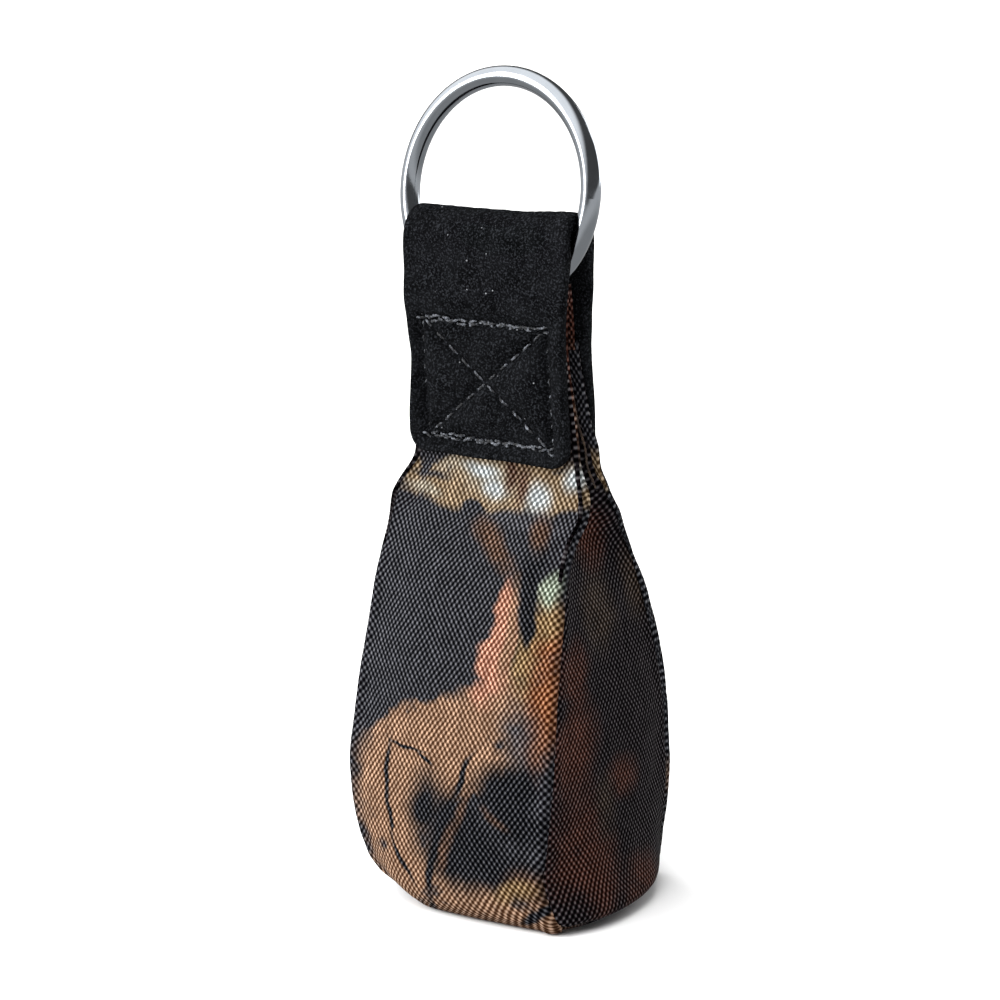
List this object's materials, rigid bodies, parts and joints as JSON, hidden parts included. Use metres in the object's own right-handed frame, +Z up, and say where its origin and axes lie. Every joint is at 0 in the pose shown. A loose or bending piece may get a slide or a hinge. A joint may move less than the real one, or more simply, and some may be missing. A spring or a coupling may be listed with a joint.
{
  "type": "training bumper",
  "caption": "Weighted cloth training bumper: shot-filled camouflage pouch with a leather tab stitched over a round steel ring.",
  "frame": {"origin": "centre of the flat base the pouch stands on", "axes": "+Z up through the pouch and the ring, +X across the front panel to the right gusset, -Y out of the front panel"},
  "size_m": [0.049, 0.0436, 0.1642],
  "materials": {
    "polished_steel": "polished",
    "black_suede": "matte",
    "slate_thread": "satin",
    "camo_cloth": "matte",
    "dark_camo_cloth": "matte",
    "brown_thread": "matte",
    "liner_cloth": "matte",
    "steel_shot": "satin"
  },
  "bodies": {
    "bag": {"cover_wrap": "camo_cloth", "left_gusset": "dark_camo_cloth", "right_gusset": "dark_camo_cloth", "left_seam_thread": "brown_thread", "right_seam_thread": "brown_thread", "liner": "liner_cloth", "shot_fill": "steel_shot"},
    "tab": {"leather_tab": "black_suede", "front_box_thread": "slate_thread", "back_box_thread": "slate_thread", "mouth_thread": "brown_thread", "liner_thread": "brown_thread"},
    "ring": {"ring": "polished_steel"}
  },
  "joints": [
    {"name": "neck_flex", "type": "hinge", "parent": "bag", "child": "tab", "pos_m": [0, 0, 0.085], "axis": [1, 0, 0], "range_deg": [-50, 50], "stiffness_Nm_per_rad": 0.06, "deforming": ["cover_wrap", "left_gusset", "right_gusset", "left_seam_thread", "right_seam_thread", "liner"]},
    {"name": "ring_swing", "type": "hinge", "parent": "tab", "child": "ring", "pos_m": [0, 0, 0.1205], "axis": [1, 0, 0], "range_deg": [-62, 78], "deforming": ["leather_tab"]}
  ]
}
